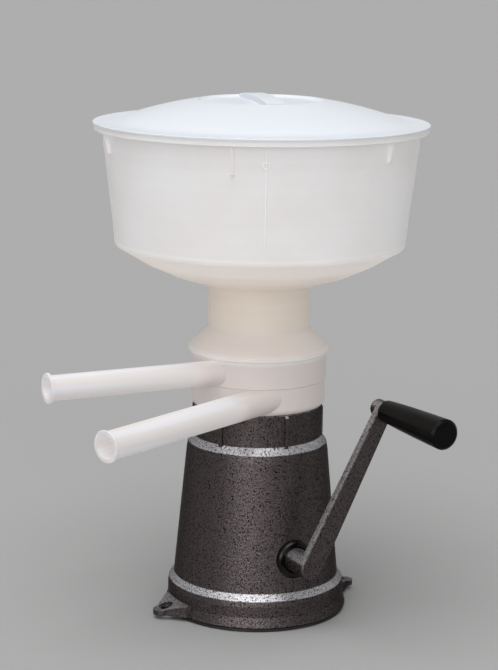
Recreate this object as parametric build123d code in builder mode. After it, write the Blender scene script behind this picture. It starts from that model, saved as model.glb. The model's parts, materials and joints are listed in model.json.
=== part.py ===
"""A hand-crank cream separator as a bench assembly of separate pieces.

A crank turns a two-stage step-up drive in a cast housing. The drive spins an upright spindle that
carries a drum of conical discs. Milk runs from a lidded bowl through a float chamber into the drum,
and the drum throws skim milk and cream into two stacked plastic receivers, each with its own spout.

Millimetres. The origin is on the spindle axis at the underside of the base plate. +Z is up, the
crank shaft points along -Y and the two mounting ears lie along X.
"""

import os
from math import asin, atan2, cos, degrees, hypot, pi, radians, sin, sqrt, tan

from build123d import *

os.makedirs("parts", exist_ok=True)

# ---------------------------------------------------------------- driving dimensions

fit = 0.03  # radial clearance of a running fit
gap = 0.3  # clearance between loose parts

# Base and housing
plate_thickness = 2.5
plate_radius = 80.2
gasket_thickness = 1.2
gasket_outer = 79.2
gasket_inner = 74.2
foot_z = plate_thickness + gasket_thickness
foot_radius = 81.0
ring_radius = 78.6
ring_top_z = 26.4
cone_foot_radius = 73.4
cone_foot_z = 32.0
cone_top_radius = 62.7
cone_top_z = 146.0
shoulder_z = 158.5
collar_radius = 56.5
collar_top_z = 186.4
wall = 4.0
cavity_radius = 74.2
deck_z = 119.0
deck_thickness = 5.0
rib_count = 6
rib_start = -92.0
rib_width = 3.2
rib_height = 1.5
ear_hole_reach = 89.8
ear_hole_radius = 4.5
ear_end_reach = 93.0  # centre of the ear's rounded end
ear_end_radius = 8.0
ear_root_half_width = 21.0
ear_tip_thickness = 4.4
ear_root_top_z = 14.2

# Base screws
base_screw_circle = 70.0
base_screw_radius = 2.0
base_boss_radius = 5.5

# Crank
crank_z = 61.2
crank_throw = 149.5
crank_rest_angle = 27.8  # from straight up towards +X
arm_front = 103.0  # distance of the arm's front face from the spindle axis
arm_thickness = 6.4
arm_boss_depth = 8.0
arm_low_radius = 10.8
arm_high_radius = 7.8
hub_radius = 10.7
hub_inner_reach = 66.0
crank_shaft_radius = 5.0
seal_radius = 16.7
seal_front = 74.6
seal_back = 64.0
grip_length = 92.0
grip_small_radius = 9.6
grip_large_radius = 13.0
grip_axle_radius = 3.0

# Gear train
gear_module = 0.8
crank_teeth = 96
pinion_teeth = 12
worm_starts = 2
wheel_teeth = 38
worm_pitch_radius = 5.1
layshaft_x = 26.0
gear_reach = 44.0  # inner face of the crank gear
gear_width = 6.0
wheel_width = 7.0

# Spindle and its bearings
spindle_radius = 5.0
slim_radius = 3.8
spindle_foot_z = 22.1
bearing_z = 124.0
bearing_width = 8.0
bearing_outer = 13.0
ball_circle = 9.0
ball_radius = 2.4
ball_count = 7
bearing_boss_radius = 22.0
damper_radius = 17.0

# Drum
drum_radius = 46.0
drum_floor_z = 139.0
drum_joint_z = 150.0
drum_cone_z = 164.0
neck_radius = 16.0
neck_z = 196.5
neck_top_z = 205.0
feed_tube_radius = 7.5
feed_tube_bore = 5.0
disc_count = 8
disc_pitch = 1.8
disc_thickness = 0.5

# Receivers and spouts
receiver_radius = 59.2
receiver_wall = 2.2
skim_floor_z = collar_top_z
seam_z = 210.0
receiver_top_z = 233.5
floor_thickness = 2.0
skim_hole_radius = 30.0
skim_rim_z = 193.0
cream_hole_radius = 17.0
cream_rim_z = 219.0
spout_wall = 1.8
root_wall = 2.1
spout_flange = 2.2  # length of the rolled end at each mouth
spigot_depth = 4.0
spigot_wall = 1.8
cream_root_start = 28.0  # a narrower bore opens the receiver's wall from here
cream_bore_start = 64.0  # the full-size bore runs from here to the mouth
skim_root_start = 16.0
skim_bore_start = 98.0
cream_spout_angle = 178.2
cream_spout_offset = 25.0
cream_spout_z = 222.4
cream_spout_length = 208.0
cream_spout_radius = 10.8
skim_spout_angle = 198.4
skim_spout_offset = 41.0
skim_spout_z = 202.0
skim_spout_slope = 2.5
skim_spout_length = 220.0
skim_spout_radius = 12.0

# Float chamber and float
bead_radius = 61.9
bead_height = 6.5
chamber_floor_z = 236.0
chamber_neck_radius = 44.8
chamber_cone_z = 254.0
chamber_top_z = 292.5
nozzle_radius = 4.0
nozzle_bore = 2.4
nozzle_foot_z = 221.0
float_radius = 39.5
float_z = 250.0
float_top_z = 278.0

# Milk bowl
bowl_lip_radius = 48.0
bowl_corner_z = 330.0
bowl_rim_z = 427.6
bowl_top_z = 432.8
bowl_rim_radius = 144.3
bowl_outlet_radius = 5.0
gusset_count = 6
gusset_start = -128.0
gusset_long = 24.0
gusset_short = 17.0

# Lid
lid_radius = 145.6
lid_rim_height = 1.8
lid_flat_radius = 133.0
lid_foot_radius = 115.0  # the dome's skin meets the concave sweep here
lid_ring_z = 414.2
lid_crown_z = 457.8
lid_dome_radius = 370.0
lid_thickness = 2.2
lid_recess_radius = 55.0
lid_recess_depth = 5.0
lid_bar_width = 17.0
lid_bar_length = 108.0
lid_bar_angle = -105.0
lid_bar_top_z = 457.6

# ---------------------------------------------------------------- derived places

collar_bore = collar_radius - wall
deck_top_z = deck_z + deck_thickness
gear_centres = gear_module * (crank_teeth + pinion_teeth) / 2
layshaft_z = crank_z + sqrt(gear_centres**2 - layshaft_x**2)
mesh_angle = degrees(atan2(layshaft_z - crank_z, layshaft_x))
wheel_pitch_radius = layshaft_x - worm_pitch_radius
wheel_module = 2 * wheel_pitch_radius / wheel_teeth
worm_lead = pi * wheel_module * worm_starts
worm_half_length = 12.0
arm_top_x = crank_throw * sin(radians(crank_rest_angle))
arm_top_z = crank_z + crank_throw * cos(radians(crank_rest_angle))
cone_slope = (neck_z - drum_cone_z) / (drum_radius - neck_radius)
receiver_bore = receiver_radius - receiver_wall

along_crank = Plane.XZ  # local x is +X, local y is +Z, and offsets run towards the crank


def radial_plane(angle):
    """The upright plane through the spindle axis whose local x points outwards at this angle."""
    a = radians(angle)
    return Plane(origin=(0, 0, 0), x_dir=(cos(a), sin(a), 0), z_dir=(sin(a), -cos(a), 0))


def circles_at(part, height, at_least=0.0):
    """The full-circle edges of a turned part at one height, outside a given radius."""
    edges = part.edges().filter_by(GeomType.CIRCLE)
    return [e for e in edges if abs(e.arc_center.Z - height) < 0.01 and e.radius > at_least]


def tooth_outline(teeth, module, first_angle, tip_share, pitch_share, root_share, addendum, dedendum):
    """Corner points of a spur gear whose teeth are trapezoids with a short pitch-line kink."""
    pitch_radius = module * teeth / 2
    step = 360 / teeth
    levels = [
        (pitch_radius - dedendum, root_share),
        (pitch_radius, pitch_share),
        (pitch_radius + addendum, tip_share),
    ]
    points = []
    for i in range(teeth):
        middle = first_angle + i * step
        rising = [(r, middle - share * step / 2) for r, share in levels]
        falling = [(r, middle + share * step / 2) for r, share in reversed(levels)]
        for r, angle in rising + falling:
            points.append((r * cos(radians(angle)), r * sin(radians(angle))))
    return points


# ---------------------------------------------------------------- base

with BuildPart() as base_plate:
    with BuildSketch():
        Circle(plate_radius)
    extrude(amount=plate_thickness)
    fillet(circles_at(base_plate.part, 0, 50), 0.8)
    with Locations(Plane.XY.rotated((180, 0, 0))):
        with PolarLocations(base_screw_circle, 4, start_angle=45):
            CounterSinkHole(base_screw_radius + 0.2, 4.0, depth=plate_thickness)
base_plate.part.label = "base_plate"
export_step(base_plate.part, "parts/base_plate.step")

with BuildPart() as base_gasket:
    with BuildSketch(Plane.XY.offset(plate_thickness)):
        Circle(gasket_outer)
        Circle(gasket_inner, mode=Mode.SUBTRACT)
    extrude(amount=gasket_thickness)
base_gasket.part.label = "base_gasket"
export_step(base_gasket.part, "parts/base_gasket.step")

with BuildPart() as base_screws:
    with PolarLocations(base_screw_circle, 4, start_angle=45):
        with Locations((0, 0, 0.2)):
            Cone(3.8, base_screw_radius, 1.9, align=(Align.CENTER, Align.CENTER, Align.MIN))
            Cylinder(base_screw_radius, 12.0, align=(Align.CENTER, Align.CENTER, Align.MIN))
            Box(5.2, 0.9, 1.4, mode=Mode.SUBTRACT)
base_screws.part.label = "base_screws"
export_step(base_screws.part, "parts/base_screws.step")

# ---------------------------------------------------------------- housing

with BuildPart() as ear:
    with BuildSketch(Plane.XY.offset(foot_z)):
        with BuildLine():
            ear_lines = Polyline(
                (60, ear_root_half_width + 4),
                (80, ear_root_half_width),
                (ear_end_reach, ear_end_radius),
            )
            mirror(ear_lines, about=Plane.XZ)
            ThreePointArc(
                (ear_end_reach, ear_end_radius),
                (ear_end_reach + ear_end_radius, 0),
                (ear_end_reach, -ear_end_radius),
            )
            Line((60, ear_root_half_width + 4), (60, -ear_root_half_width - 4))
        make_face()
    extrude(amount=ear_root_top_z - foot_z)
    with BuildSketch(Plane.XZ):
        with BuildLine():
            Polyline(
                (59, foot_z),
                (110, foot_z),
                (110, foot_z + ear_tip_thickness),
                (ear_end_reach + 3, foot_z + ear_tip_thickness),
                (78, ear_root_top_z),
                (59, ear_root_top_z),
                close=True,
            )
        make_face()
    extrude(amount=40, both=True, mode=Mode.INTERSECT)

with BuildPart() as collar_rib:
    with BuildSketch(Plane.XZ):
        with BuildLine():
            Polyline(
                (collar_radius - 1, shoulder_z - 3),
                (collar_radius + rib_height, shoulder_z - 3),
                (collar_radius + rib_height, collar_top_z - 2.6),
                (collar_radius + 0.1, collar_top_z - 0.6),
                (collar_radius - 1, collar_top_z - 0.6),
                close=True,
            )
        make_face()
    extrude(amount=rib_width / 2, both=True)

with BuildPart() as housing:
    with BuildSketch(Plane.XZ):
        with BuildLine():
            Polyline(
                (foot_radius, foot_z),
                (ring_radius, 12),
                (ring_radius, 22),
                (ring_radius - 0.8, ring_top_z),
                (cone_foot_radius, cone_foot_z),
                (cone_top_radius, cone_top_z),
                (cone_top_radius - 1.2, cone_top_z + 6.4),
                (collar_radius + 0.1, shoulder_z),
                (collar_radius, shoulder_z + 1),
                (collar_radius, collar_top_z),
                (collar_bore, collar_top_z),
                (collar_bore, shoulder_z),
                (cone_top_radius - wall - 0.5, cone_top_z),
                (cone_top_radius - wall + 2, deck_top_z),
                (bearing_boss_radius, deck_top_z),
                (bearing_boss_radius, bearing_z + bearing_width),
                (damper_radius, bearing_z + bearing_width),
                (damper_radius, bearing_z - 1),
                (9, bearing_z - 1),
                (9, deck_z),
                (cone_top_radius - wall + 2.4, deck_z),
                (cone_foot_radius - wall, 34),
                (cavity_radius, 26),
                (cavity_radius, foot_z),
                close=True,
            )
        make_face()
    revolve(axis=Axis.Z)
    fillet(circles_at(housing.part, ring_top_z, 70), 1.6)
    fillet(circles_at(housing.part, cone_foot_z, 70), 1.2)
    fillet(circles_at(housing.part, cone_top_z + 6.4, 60), 1.6)
    fillet(circles_at(housing.part, collar_top_z, collar_bore), 0.5)
    # Inner boss of the crank shaft
    with BuildSketch(along_crank.offset(54)):
        with Locations((0, crank_z)):
            Circle(20)
    extrude(amount=12)
    # Inner bosses of the layshaft, front and back
    with BuildSketch(along_crank.offset(52)):
        with Locations((layshaft_x, layshaft_z)):
            Circle(8)
    extrude(amount=5)
    with BuildSketch(along_crank.offset(-56)):
        with Locations((layshaft_x, layshaft_z)):
            Circle(8)
    extrude(amount=36)
    # Cross bridge with the footstep boss
    with Locations((0, 0, 18)):
        Box(154, 18, 12)
    with BuildSketch(Plane.XY.offset(10)):
        Circle(12)
    extrude(amount=18)
    # Screw bosses on the inside of the foot ring
    with BuildSketch(Plane.XY.offset(foot_z)):
        with PolarLocations(base_screw_circle, 4, start_angle=45):
            Circle(base_boss_radius)
            with Locations((4, 0)):
                Rectangle(8, 2 * base_boss_radius)
    extrude(amount=14)
    with PolarLocations(0, 2):
        add(ear.part)
    with PolarLocations(0, rib_count, start_angle=rib_start):
        add(collar_rib.part)
    # The cavity stays open where the ears were added
    with BuildSketch(Plane.XY.offset(foot_z)):
        Circle(cavity_radius)
        Rectangle(170, 18, mode=Mode.SUBTRACT)
        with PolarLocations(base_screw_circle, 4, start_angle=45):
            Circle(base_boss_radius, mode=Mode.SUBTRACT)
            with Locations((4, 0)):
                Rectangle(8, 2 * base_boss_radius, mode=Mode.SUBTRACT)
    extrude(amount=ear_root_top_z - foot_z, mode=Mode.SUBTRACT)
    with BuildSketch(Plane.XY.offset(foot_z)):
        Rectangle(2 * cavity_radius - 4, 30)
    extrude(amount=10 - foot_z, mode=Mode.SUBTRACT)
    with BuildSketch(Plane.XY.offset(10)):
        Circle(12)
    extrude(amount=18)
    # Bores
    with BuildSketch(along_crank.offset(seal_back)):
        with Locations((0, crank_z)):
            Circle(seal_radius)
    extrude(amount=20, mode=Mode.SUBTRACT)
    with BuildSketch(along_crank.offset(50)):
        with Locations((0, crank_z)):
            Circle(8)
    extrude(amount=20, mode=Mode.SUBTRACT)
    with BuildSketch(along_crank.offset(50)):
        with Locations((layshaft_x, layshaft_z)):
            Circle(5.5)
    extrude(amount=8, mode=Mode.SUBTRACT)
    with BuildSketch(along_crank.offset(-75)):
        with Locations((layshaft_x, layshaft_z)):
            Circle(5.5)
    extrude(amount=58, mode=Mode.SUBTRACT)
    with Locations((0, 0, 10)):
        Cylinder(5, 12.5, align=(Align.CENTER, Align.CENTER, Align.MIN), mode=Mode.SUBTRACT)
    with Locations((0, 0, 22.5)):
        Cylinder(7, 8, align=(Align.CENTER, Align.CENTER, Align.MIN), mode=Mode.SUBTRACT)
    with PolarLocations(base_screw_circle, 4, start_angle=45):
        Cylinder(base_screw_radius, 26, mode=Mode.SUBTRACT)
    with PolarLocations(19.5, 3, start_angle=90):
        with Locations((0, 0, bearing_z + bearing_width)):
            Cylinder(1.1, 12, mode=Mode.SUBTRACT)
    with PolarLocations(ear_hole_reach, 2):
        with Locations((0, 0, foot_z)):
            Cylinder(
                ear_hole_radius,
                30,
                align=(Align.CENTER, Align.CENTER, Align.MIN),
                mode=Mode.SUBTRACT,
            )
        with Locations((0, 0, foot_z + ear_tip_thickness)):
            Cylinder(
                ear_hole_radius + 1.8,
                20,
                align=(Align.CENTER, Align.CENTER, Align.MIN),
                mode=Mode.SUBTRACT,
            )
housing.part.label = "housing"
export_step(housing.part, "parts/housing.step")

with BuildPart() as layshaft_plug:
    with BuildSketch(along_crank.offset(-59)):
        with Locations((layshaft_x, layshaft_z)):
            Circle(5.5)
    extrude(amount=8)
    with BuildSketch(along_crank.offset(-59)):
        with Locations((layshaft_x, layshaft_z)):
            Rectangle(9, 1.4, rotation=25)
    extrude(amount=1.6, mode=Mode.SUBTRACT)
layshaft_plug.part.label = "layshaft_plug"
export_step(layshaft_plug.part, "parts/layshaft_plug.step")

# ---------------------------------------------------------------- footstep bearing

with BuildPart() as footstep_screw:
    with Locations((0, 0, 4)):
        Cylinder(5, 13, align=(Align.CENTER, Align.CENTER, Align.MIN))
    with Locations((0, 0, 19)):
        Sphere(3.05, mode=Mode.SUBTRACT)
    with Locations((0, 0, 4)):
        Box(12, 1.6, 3, mode=Mode.SUBTRACT)
footstep_screw.part.label = "footstep_screw"
export_step(footstep_screw.part, "parts/footstep_screw.step")

with BuildPart() as footstep_locknut:
    with BuildSketch(Plane.XY.offset(6.2)):
        RegularPolygon(8, 6, major_radius=False)
        Circle(5, mode=Mode.SUBTRACT)
    extrude(amount=3.8)
footstep_locknut.part.label = "footstep_locknut"
export_step(footstep_locknut.part, "parts/footstep_locknut.step")

with BuildPart() as footstep_bush:
    with BuildSketch(Plane.XY.offset(22.5)):
        Circle(7)
        Circle(slim_radius + fit, mode=Mode.SUBTRACT)
    extrude(amount=6.5)
footstep_bush.part.label = "footstep_bush"
export_step(footstep_bush.part, "parts/footstep_bush.step")

with BuildPart() as thrust_ball:
    with Locations((0, 0, 19)):
        Sphere(3)
thrust_ball.part.label = "thrust_ball"
export_step(thrust_ball.part, "parts/thrust_ball.step")

# ---------------------------------------------------------------- upper bearing

with BuildPart() as bearing_damper_ring:
    with BuildSketch(Plane.XY.offset(bearing_z - 1)):
        Circle(damper_radius)
        Circle(bearing_outer, mode=Mode.SUBTRACT)
    extrude(amount=bearing_width + 1)
    with BuildSketch(Plane.XY.offset(bearing_z - 1)):
        Circle(damper_radius)
        Circle(11.5, mode=Mode.SUBTRACT)
    extrude(amount=1)
bearing_damper_ring.part.label = "bearing_damper_ring"
export_step(bearing_damper_ring.part, "parts/bearing_damper_ring.step")

with BuildPart() as bearing_outer_ring:
    with BuildSketch(Plane.XZ):
        with Locations(((bearing_outer + 10.9) / 2, bearing_z + bearing_width / 2)):
            Rectangle(bearing_outer - 10.9, bearing_width)
        with Locations((ball_circle, bearing_z + bearing_width / 2)):
            Circle(ball_radius + 0.05, mode=Mode.SUBTRACT)
    revolve(axis=Axis.Z)
bearing_outer_ring.part.label = "bearing_outer_ring"
export_step(bearing_outer_ring.part, "parts/bearing_outer_ring.step")

with BuildPart() as bearing_inner_ring:
    with BuildSketch(Plane.XZ):
        with Locations(((spindle_radius + 7.1) / 2, bearing_z + bearing_width / 2)):
            Rectangle(7.1 - spindle_radius, bearing_width)
        with Locations((ball_circle, bearing_z + bearing_width / 2)):
            Circle(ball_radius + 0.05, mode=Mode.SUBTRACT)
    revolve(axis=Axis.Z)
bearing_inner_ring.part.label = "bearing_inner_ring"
export_step(bearing_inner_ring.part, "parts/bearing_inner_ring.step")

with BuildPart() as bearing_balls:
    with PolarLocations(ball_circle, ball_count):
        with Locations((0, 0, bearing_z + bearing_width / 2)):
            Sphere(ball_radius)
bearing_balls.part.label = "bearing_balls"
export_step(bearing_balls.part, "parts/bearing_balls.step")

with BuildPart() as bearing_retainer:
    with BuildSketch(Plane.XY.offset(bearing_z + bearing_width)):
        Circle(bearing_boss_radius)
        Circle(11.2, mode=Mode.SUBTRACT)
        with PolarLocations(19.5, 3, start_angle=90):
            Circle(1.2, mode=Mode.SUBTRACT)
    extrude(amount=1.5)
bearing_retainer.part.label = "bearing_retainer"
export_step(bearing_retainer.part, "parts/bearing_retainer.step")

with BuildPart() as retainer_screws:
    with PolarLocations(19.5, 3, start_angle=90):
        with Locations((0, 0, bearing_z + bearing_width + 1.5)):
            Cylinder(2.1, 1.6, align=(Align.CENTER, Align.CENTER, Align.MIN))
            Box(5, 0.6, 1, align=(Align.CENTER, Align.CENTER, Align.MIN), mode=Mode.SUBTRACT)
        with Locations((0, 0, bearing_z + bearing_width + 2)):
            Cylinder(1.1, 7.5, align=(Align.CENTER, Align.CENTER, Align.MAX))
retainer_screws.part.label = "retainer_screws"
export_step(retainer_screws.part, "parts/retainer_screws.step")

# ---------------------------------------------------------------- crank

with BuildPart() as crank_shaft_seal:
    with BuildSketch(along_crank.offset(seal_back)):
        with Locations((0, crank_z)):
            Circle(seal_radius)
            Circle(hub_radius + 0.1, mode=Mode.SUBTRACT)
    extrude(amount=seal_front - seal_back)
    chamfer(crank_shaft_seal.edges().group_by(Axis.Y)[0], 1.4)
crank_shaft_seal.part.label = "crank_shaft_seal"
export_step(crank_shaft_seal.part, "parts/crank_shaft_seal.step")

with BuildPart() as crank_shaft_bush:
    with BuildSketch(along_crank.offset(52)):
        with Locations((0, crank_z)):
            Circle(10)
    extrude(amount=2)
    with BuildSketch(along_crank.offset(54)):
        with Locations((0, crank_z)):
            Circle(8)
    extrude(amount=10)
    with BuildSketch(along_crank.offset(52)):
        with Locations((0, crank_z)):
            Circle(crank_shaft_radius + fit)
    extrude(amount=12, mode=Mode.SUBTRACT)
crank_shaft_bush.part.label = "crank_shaft_bush"
export_step(crank_shaft_bush.part, "parts/crank_shaft_bush.step")

with BuildPart() as crank_shaft:
    with BuildSketch(along_crank.offset(36)):
        with Locations((0, crank_z)):
            Circle(crank_shaft_radius)
    extrude(amount=60)
    with Locations((0, -40, crank_z)):
        Cylinder(1.2, 12, mode=Mode.SUBTRACT)
    chamfer(crank_shaft.edges().group_by(Axis.Y)[-1], 0.6)
crank_shaft.part.label = "crank_shaft"
export_step(crank_shaft.part, "parts/crank_shaft.step")

with BuildPart() as crank_gear:
    with BuildSketch(along_crank.offset(gear_reach)):
        with Locations((0, crank_z)):
            Polygon(
                *tooth_outline(crank_teeth, gear_module, mesh_angle, 0.22, 0.42, 0.6, 0.75, 1.0),
                align=None,
            )
    extrude(amount=gear_width)
    with BuildSketch(along_crank.offset(36.5)):
        with Locations((0, crank_z)):
            Circle(9)
    extrude(amount=15.2)
    # Lightening holes and a recessed web
    with BuildSketch(along_crank.offset(gear_reach)):
        with Locations((0, crank_z)):
            Circle(34)
            Circle(12, mode=Mode.SUBTRACT)
    extrude(amount=1.5, mode=Mode.SUBTRACT)
    with BuildSketch(along_crank.offset(gear_reach + gear_width)):
        with Locations((0, crank_z)):
            Circle(34)
            Circle(12, mode=Mode.SUBTRACT)
    extrude(amount=-1.5, mode=Mode.SUBTRACT)
    with BuildSketch(along_crank.offset(gear_reach)):
        with Locations((0, crank_z)):
            with PolarLocations(23, 6):
                Circle(7)
    extrude(amount=gear_width, mode=Mode.SUBTRACT)
    with BuildSketch(along_crank.offset(30)):
        with Locations((0, crank_z)):
            Circle(crank_shaft_radius)
    extrude(amount=30, mode=Mode.SUBTRACT)
    with Locations((0, -40, crank_z)):
        Cylinder(1.2, 24, mode=Mode.SUBTRACT)
crank_gear.part.label = "crank_gear"
export_step(crank_gear.part, "parts/crank_gear.step")

with BuildPart() as crank_gear_pin:
    with Locations((0, -40, crank_z)):
        Cylinder(1.2, 17.6)
crank_gear_pin.part.label = "crank_gear_pin"
export_step(crank_gear_pin.part, "parts/crank_gear_pin.step")

arm_plane = Plane(
    origin=(0, -arm_front, crank_z),
    x_dir=(sin(radians(crank_rest_angle)), 0, cos(radians(crank_rest_angle))),
    z_dir=(0, -1, 0),
)  # local x runs up the arm from the shaft to the grip

with BuildPart() as crank_arm:
    lean = asin((arm_low_radius - arm_high_radius) / crank_throw)
    low_x = arm_low_radius * sin(lean)
    low_y = arm_low_radius * cos(lean)
    high_x = crank_throw + arm_high_radius * sin(lean)
    high_y = arm_high_radius * cos(lean)
    with BuildSketch(arm_plane):
        Circle(arm_low_radius)
        with Locations((crank_throw, 0)):
            Circle(arm_high_radius)
        Polygon((low_x, low_y), (high_x, high_y), (high_x, -high_y), (low_x, -low_y), align=None)
    extrude(amount=-arm_thickness)
    fillet(crank_arm.edges().group_by(Axis.Y)[0], 2.2)
    # Hub that runs back to the shaft seal, and the boss that holds the grip's axle
    with BuildSketch(arm_plane.offset(-arm_thickness)):
        Circle(hub_radius)
    extrude(amount=-(arm_front - arm_thickness - hub_inner_reach))
    with BuildSketch(arm_plane.offset(-arm_thickness)):
        with Locations((crank_throw, 0)):
            Circle(arm_high_radius)
    extrude(amount=-arm_boss_depth)
    boss_back_y = arm_thickness + arm_boss_depth - arm_front
    boss_circles = crank_arm.edges().filter_by(GeomType.CIRCLE)
    fillet([e for e in boss_circles if abs(e.arc_center.Y - boss_back_y) < 0.01], 1.5)
    with BuildSketch(arm_plane.offset(hub_inner_reach - arm_front)):
        Circle(crank_shaft_radius)
    extrude(amount=96 - hub_inner_reach, mode=Mode.SUBTRACT)
    with BuildSketch(arm_plane):
        with Locations((crank_throw, 0)):
            Circle(grip_axle_radius)
    extrude(amount=-12, mode=Mode.SUBTRACT)
crank_arm.part.label = "crank_arm"
export_step(crank_arm.part, "parts/crank_arm.step")

with BuildPart() as grip_axle:
    with BuildSketch(arm_plane.offset(-12)):
        with Locations((crank_throw, 0)):
            Circle(grip_axle_radius)
    extrude(amount=12 + grip_length - 8)
    with BuildSketch(arm_plane.offset(grip_length - 8)):
        with Locations((crank_throw, 0)):
            Circle(grip_axle_radius + 1.6)
    extrude(amount=2)
grip_axle.part.label = "grip_axle"
export_step(grip_axle.part, "parts/grip_axle.step")

grip_axis = Axis((arm_top_x, 0, arm_top_z), (0, -1, 0))

with BuildPart() as crank_grip:
    with BuildSketch(Plane(origin=(arm_top_x, -arm_front, arm_top_z), x_dir=(0, -1, 0), z_dir=(-1, 0, 0))):
        with BuildLine():
            shoulder = 1.6
            Line((gap, grip_axle_radius + fit), (gap, grip_small_radius - shoulder))
            Line((gap, grip_small_radius - shoulder), (gap + shoulder, grip_small_radius))
            Spline(
                (gap + shoulder, grip_small_radius),
                (grip_length * 0.3, grip_small_radius + 1.4),
                (grip_length * 0.68, grip_large_radius - 0.7),
                (grip_length - 2, grip_large_radius),
            )
            Line((grip_length - 2, grip_large_radius), (grip_length, grip_large_radius - 2))
            Line((grip_length, grip_large_radius - 2), (grip_length, 0))
            Line((grip_length, 0), (grip_length - 5, 0))
            Line((grip_length - 5, 0), (grip_length - 5, grip_axle_radius + 1.9))
            Line(
                (grip_length - 5, grip_axle_radius + 1.9),
                (grip_length - 8.3, grip_axle_radius + 1.9),
            )
            Line(
                (grip_length - 8.3, grip_axle_radius + 1.9),
                (grip_length - 8.3, grip_axle_radius + fit),
            )
            Line((grip_length - 8.3, grip_axle_radius + fit), (gap, grip_axle_radius + fit))
        make_face()
    revolve(axis=grip_axis)
crank_grip.part.label = "crank_grip"
export_step(crank_grip.part, "parts/crank_grip.step")

# ---------------------------------------------------------------- layshaft

with BuildPart() as layshaft_bushes:
    for start, length in ((52, 6), (-32, 12)):
        with BuildSketch(along_crank.offset(start)):
            with Locations((layshaft_x, layshaft_z)):
                Circle(5.5)
                Circle(3.5 + fit, mode=Mode.SUBTRACT)
        extrude(amount=length)
layshaft_bushes.part.label = "layshaft_bushes"
export_step(layshaft_bushes.part, "parts/layshaft_bushes.step")

with BuildPart() as pinion_shaft:
    # Journal, pinion, body and rear journal, from the crank side to the back
    for start, end, radius in ((-31.5, -19.7, 3.5), (-19.7, 43, 4.0), (51, 57.5, 3.5)):
        with BuildSketch(along_crank.offset(start)):
            with Locations((layshaft_x, layshaft_z)):
                Circle(radius)
        extrude(amount=end - start)
    with BuildSketch(along_crank.offset(43)):
        with Locations((layshaft_x, layshaft_z)):
            Polygon(
                *tooth_outline(
                    pinion_teeth,
                    gear_module,
                    mesh_angle + 180 + 180 / pinion_teeth,
                    0.18,
                    0.4,
                    0.56,
                    0.7,
                    1.0,
                ),
                align=None,
            )
    extrude(amount=8)
    with Locations((layshaft_x, 6, layshaft_z)):
        Cylinder(1, 14, mode=Mode.SUBTRACT)
pinion_shaft.part.label = "pinion_shaft"
export_step(pinion_shaft.part, "parts/pinion_shaft.step")

worm_lead_angle = degrees(atan2(worm_lead, 2 * pi * worm_pitch_radius))
wheel_twist = degrees(wheel_width * tan(radians(worm_lead_angle)) / wheel_pitch_radius)

with BuildPart() as worm_wheel:
    # The toothed rim is lofted between two turned outlines, which slants the teeth
    for end in (-1, 1):
        with BuildSketch(along_crank.offset(end * wheel_width / 2)):
            with Locations((layshaft_x, layshaft_z)):
                Polygon(
                    *tooth_outline(
                        wheel_teeth,
                        wheel_module,
                        180 + 180 / wheel_teeth + end * wheel_twist / 2,
                        0.24,
                        0.36,
                        0.5,
                        1.0,
                        1.3,
                    ),
                    align=None,
                )
    loft(ruled=True)
    with BuildSketch(along_crank.offset(-9)):
        with Locations((layshaft_x, layshaft_z)):
            Circle(8)
    extrude(amount=9 + wheel_width / 2)
    with BuildSketch(along_crank.offset(-20)):
        with Locations((layshaft_x, layshaft_z)):
            Circle(4)
    extrude(amount=40, mode=Mode.SUBTRACT)
    with Locations((layshaft_x, 6, layshaft_z)):
        Cylinder(1, 20, mode=Mode.SUBTRACT)
worm_wheel.part.label = "worm_wheel"
export_step(worm_wheel.part, "parts/worm_wheel.step")

with BuildPart() as worm_wheel_pin:
    with Locations((layshaft_x, 6, layshaft_z)):
        Cylinder(1, 15.6)
worm_wheel_pin.part.label = "worm_wheel_pin"
export_step(worm_wheel_pin.part, "parts/worm_wheel_pin.step")

# ---------------------------------------------------------------- spindle

worm_low_z = layshaft_z - worm_half_length
worm_high_z = layshaft_z + worm_half_length
worm_tip = worm_pitch_radius + 1.0
worm_turn = 360 * 2 * worm_half_length / worm_lead
worm_start_angle = -360 * worm_half_length / worm_lead


def worm_corner(radius, share, side, lobe):
    """One corner of a thread's cross-section; side is -1 or 1, share is of the thread pitch."""
    middle = worm_start_angle + lobe * 360 / worm_starts
    angle = radians(middle + side * share * 180 / worm_starts)
    return (radius * cos(angle), radius * sin(angle))


with BuildSketch(Plane.XY.offset(worm_low_z)) as worm_section:
    with BuildLine():
        for lobe in range(worm_starts):
            Line(worm_corner(slim_radius, 0.5, -1, lobe), worm_corner(worm_tip, 0.25, -1, lobe))
            RadiusArc(
                worm_corner(worm_tip, 0.25, -1, lobe),
                worm_corner(worm_tip, 0.25, 1, lobe),
                -worm_tip,
            )
            Line(worm_corner(worm_tip, 0.25, 1, lobe), worm_corner(slim_radius, 0.5, 1, lobe))
            RadiusArc(
                worm_corner(slim_radius, 0.5, 1, lobe),
                worm_corner(slim_radius, 0.5, -1, (lobe + 1) % worm_starts),
                -slim_radius,
            )
    make_face()

worm = Solid.extrude_linear_with_rotation(
    worm_section.sketch.face(), (0, 0, worm_low_z), (0, 0, 2 * worm_half_length), worm_turn
)

with BuildPart() as spindle:
    add(worm)
    for low, high, radius in (
        (spindle_foot_z, worm_low_z, slim_radius),
        (worm_high_z, bearing_z - 3, slim_radius),
        (bearing_z - 3, bearing_z, 6.4),
        (bearing_z, 152, spindle_radius),
    ):
        with BuildSketch(Plane.XY.offset(low)):
            Circle(radius)
        extrude(amount=high - low)
    with Locations(Location((0, 0, 137.5), (0, 90, 0))):
        Cylinder(1.2, 14, mode=Mode.SUBTRACT)
spindle.part.label = "spindle"
export_step(spindle.part, "parts/spindle.step")

with BuildPart() as drum_drive_pin:
    with Locations(Location((0, 0, 137.5), (0, 90, 0))):
        Cylinder(1.2, 19)
drum_drive_pin.part.label = "drum_drive_pin"
export_step(drum_drive_pin.part, "parts/drum_drive_pin.step")

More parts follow.
